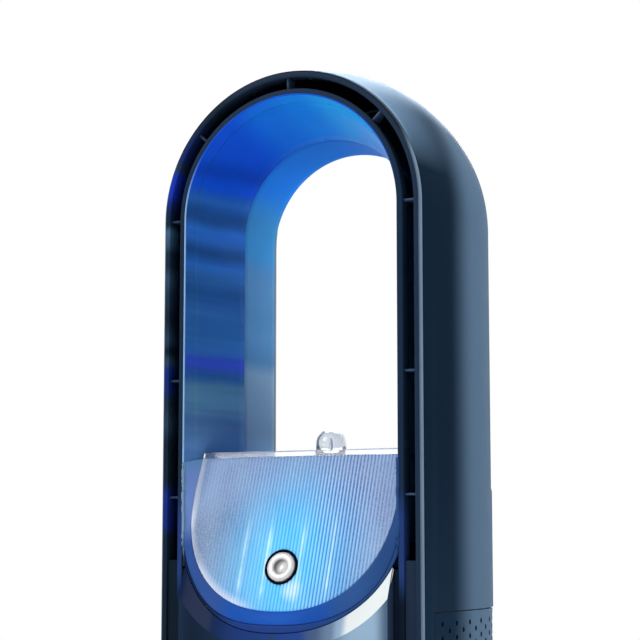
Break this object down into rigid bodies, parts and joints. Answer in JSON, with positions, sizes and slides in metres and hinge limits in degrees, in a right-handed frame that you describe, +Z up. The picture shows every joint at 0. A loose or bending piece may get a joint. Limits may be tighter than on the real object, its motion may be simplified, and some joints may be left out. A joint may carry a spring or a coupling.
{
  "type": "tower fan",
  "caption": "Bladeless tower fan: a tall arched air loop on an oscillating column with lift-off intake grilles, a lit ribbed panel and a push button.",
  "frame": {"origin": "middle of the fan's footprint, on the floor", "axes": "+Z up along the column, the loop and the panel face -Y, +X to the right as seen from the front"},
  "size_m": [0.24, 0.236, 0.88],
  "materials": {
    "acetal": "acetal",
    "black_plastic": "black",
    "black_rubber": "black",
    "board_green": "circuit board",
    "board_white": "white circuit board",
    "button_silver": "satin silver",
    "clear": "clear",
    "copper": "copper winding",
    "cover_gloss": "high gloss steel blue",
    "deck_blue": "gloss",
    "duct_grey": "moulded grey",
    "filter_white": "pleated filter paper",
    "flare_blue": "gloss, blue glow",
    "foot_dark": "satin",
    "frame_grey": "moulded grey",
    "impeller_black": "black",
    "iron": "plain",
    "led": "lamp",
    "motor_grey": "cast",
    "rear_dark": "satin metallic paint over moulded ABS",
    "ribbed_clear": "ribbed translucent, lit from behind",
    "rim_blue": "gloss, dark blue",
    "rim_dark": "gloss, near black blue",
    "shell_blue": "satin metallic paint over moulded ABS, deep steel blue",
    "slot_fill": "matte",
    "socket_black": "black",
    "steel": "plain",
    "stem": "bright",
    "surround_blue": "gloss, lit blue",
    "throat_blue": "satin, light blue",
    "trim": "bright satin line",
    "white_plastic": "white reflector"
  },
  "bodies": {
    "foot": {"foot_pan": "foot_dark", "foot_cover": "foot_dark", "foot_gear": "acetal", "ballast_plate": "iron", "rubber_feet": "black_rubber", "foot_screws": "steel", "mains_inlet": "socket_black", "slip_ring": "acetal", "pivot_retainer": "steel"},
    "column": {"outer_shell": "shell_blue", "edge_trim": "trim", "outer_rim": "rim_dark", "inner_rim": "rim_blue", "slot_ribs": "rim_dark", "slot_fillers": "slot_fill", "flare_liner": "flare_blue", "throat_liner": "throat_blue", "rear_ring": "rear_dark", "rear_sill": "rear_dark", "rear_panel": "shell_blue", "opening_deck": "deck_blue", "panel_surround": "surround_blue", "clear_dome": "clear", "dome_stem": "stem", "light_box": "white_plastic", "light_board": "board_white", "led_chips": "led", "button_gasket": "black_rubber", "button_housing": "white_plastic", "button_spring": "steel", "button_switch": "black_plastic", "front_cover": "cover_gloss", "skirt": "shell_blue", "chassis": "frame_grey", "chassis_screws": "steel", "blower_housing": "duct_grey", "air_splitter": "duct_grey", "stator_vanes": "duct_grey", "motor_isolators": "black_rubber", "motor_can": "motor_grey", "motor_winding": "copper", "motor_bearings": "steel", "control_board": "board_green", "turntable_plate": "frame_grey", "osc_motor": "motor_grey"},
    "panel": {"ribbed_panel": "ribbed_clear", "panel_strip": "clear"},
    "button": {"silver_button": "button_silver"},
    "right_intake": {"right_grille": "shell_blue", "right_filter": "filter_white"},
    "left_intake": {"left_grille": "shell_blue", "left_filter": "filter_white"},
    "rotor": {"rotor_shaft": "steel", "rotor_core": "steel", "impeller": "impeller_black"},
    "pinion": {"osc_pinion": "acetal"}
  },
  "joints": [
    {"name": "oscillation", "type": "hinge", "parent": "foot", "child": "column", "pos_m": [0, 0, 0.03], "axis": [0, 0, 1], "range_deg": [-40, 40]},
    {"name": "pinion_spin", "type": "hinge", "parent": "column", "child": "pinion", "pos_m": [0, -0.0377, 0.02], "axis": [0, 0, 1], "range_deg": [-160, 160]},
    {"name": "impeller_spin", "type": "hinge", "parent": "column", "child": "rotor", "pos_m": [0, 0, 0.23], "axis": [0, 0, 1], "continuous": true},
    {"name": "button_press", "type": "slide", "parent": "column", "child": "button", "axis": [0, 0.9438, -0.3305], "range_m": [0, 0.002], "stiffness_N_per_m": 800, "springref_m": -0.0003},
    {"name": "panel_pull", "type": "slide", "parent": "column", "child": "panel", "axis": [0, -0.9438, 0.3305], "range_m": [0, 0.06]},
    {"name": "right_grille_pull", "type": "slide", "parent": "column", "child": "right_intake", "axis": [1, 0, 0], "range_m": [0, 0.08]},
    {"name": "left_grille_pull", "type": "slide", "parent": "column", "child": "left_intake", "axis": [-1, 0, 0], "range_m": [0, 0.08]}
  ],
  "couplings": [
    {"joint": "pinion_spin", "follows": "oscillation", "ratio": 4}
  ]
}
